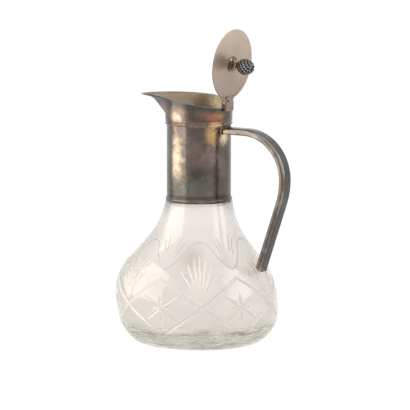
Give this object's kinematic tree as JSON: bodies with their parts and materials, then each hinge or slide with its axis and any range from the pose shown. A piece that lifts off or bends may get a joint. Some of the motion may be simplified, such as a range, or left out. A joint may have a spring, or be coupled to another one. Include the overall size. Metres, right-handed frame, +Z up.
{
  "type": "claret jug",
  "caption": "Cut-glass claret jug with a plated collar, long pouring lip, free-tailed loop handle and a flat hinged lid with a bud finial, stored open.",
  "frame": {"origin": "middle of the glass foot's flat underside, on the axis of the collar", "axes": "+Z up along the jug's axis, +X towards the handle, -X towards the spout, XZ the plane of symmetry"},
  "size_m": [0.1772, 0.151, 0.2978],
  "materials": {
    "cut_glass": "clear blown glass with wheel cuts",
    "plaster": "set plaster bedding",
    "silver_plate": "tarnished silver plate on brass",
    "satin_plate": "satin silver plate on brass",
    "steel": "drawn",
    "worn_brass": "turned, plate worn through",
    "oxidised_casting": "oxidised casting"
  },
  "bodies": {
    "jug": {"glass_body": "cut_glass", "neck_plaster": "plaster", "collar_sleeve": "silver_plate", "collar_foot_wire": "silver_plate", "reeded_band": "silver_plate", "pouring_lip": "silver_plate", "hinge_collar_leaf": "satin_plate", "hinge_pin": "steel", "handle_channel": "silver_plate", "handle_strip": "silver_plate", "handle_end_cap": "silver_plate", "handle_root_plate": "silver_plate"},
    "lid": {"hinge_lid_leaf": "satin_plate", "lid_plate": "satin_plate", "finial_base": "worn_brass", "finial_bud": "oxidised_casting", "finial_stud": "steel", "finial_nut": "worn_brass"}
  },
  "joints": [
    {"name": "lid_hinge", "type": "hinge", "parent": "jug", "child": "lid", "pos_m": [0.032, 0, 0.229], "axis": [0, -1, 0], "range_deg": [0, 92]}
  ]
}
